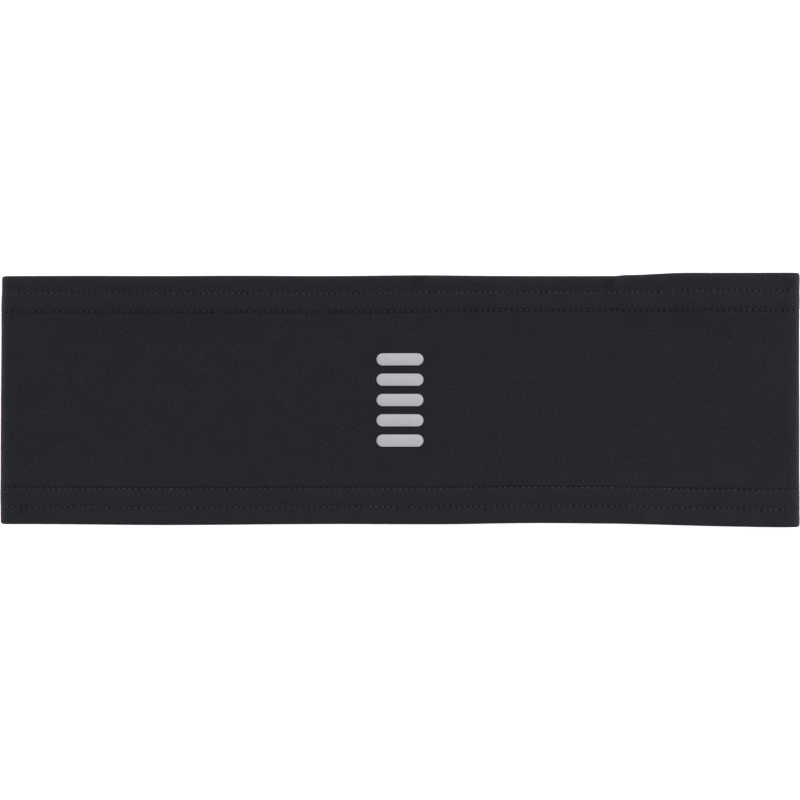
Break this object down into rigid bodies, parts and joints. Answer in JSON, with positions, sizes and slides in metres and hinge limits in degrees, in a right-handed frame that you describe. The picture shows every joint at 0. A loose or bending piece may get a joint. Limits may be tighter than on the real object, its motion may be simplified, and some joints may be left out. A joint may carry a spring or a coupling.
{
  "type": "sports headband",
  "caption": "Wide knitted sports headband: a seamed tube of stretch jersey with coverstitched hems, a care label inside and a small reflective emblem on the front.",
  "frame": {"origin": "middle of the band's footprint, on the surface that its back layer rests on", "axes": "+X along the flat width, to the wearer's left; +Y up the height of the band as worn; +Z out of the front panel, which lies on top"},
  "size_m": [0.24, 0.075, 0.0078],
  "materials": {
    "knit": "matte brushed polyester-elastane jersey",
    "needle_thread": "satin polyester sewing thread",
    "looper_thread": "textured bulk polyester thread",
    "label_satin": "woven polyester satin ribbon",
    "hot_melt_adhesive": "clear polyurethane hot melt",
    "reflective_film": "glass-bead reflective heat transfer, matte grey"
  },
  "bodies": {
    "band": {"front_panel": "knit", "back_panel_left": "knit", "back_panel_right": "knit", "left_side_fold": "knit", "right_side_fold": "knit", "top_hem": "knit", "bottom_hem": "knit", "top_hem_edge_row_thread": "needle_thread", "top_hem_inner_row_thread": "needle_thread", "top_hem_looper_thread": "looper_thread", "bottom_hem_edge_row_thread": "needle_thread", "bottom_hem_inner_row_thread": "needle_thread", "bottom_hem_looper_thread": "looper_thread", "back_seam_needle_threads": "needle_thread", "back_seam_cover_thread": "looper_thread", "back_seam_looper_thread": "looper_thread", "care_label_sewn_end": "label_satin", "care_label_tack_thread": "needle_thread", "emblem_adhesive": "hot_melt_adhesive", "emblem_film": "reflective_film"},
    "label_flap": {"care_label_flap": "label_satin"}
  },
  "joints": [
    {"name": "label_fold", "type": "hinge", "parent": "band", "child": "label_flap", "pos_m": [0.0058, 0, 0.00093], "axis": [0, -1, 0], "range_deg": [0, 14]}
  ]
}
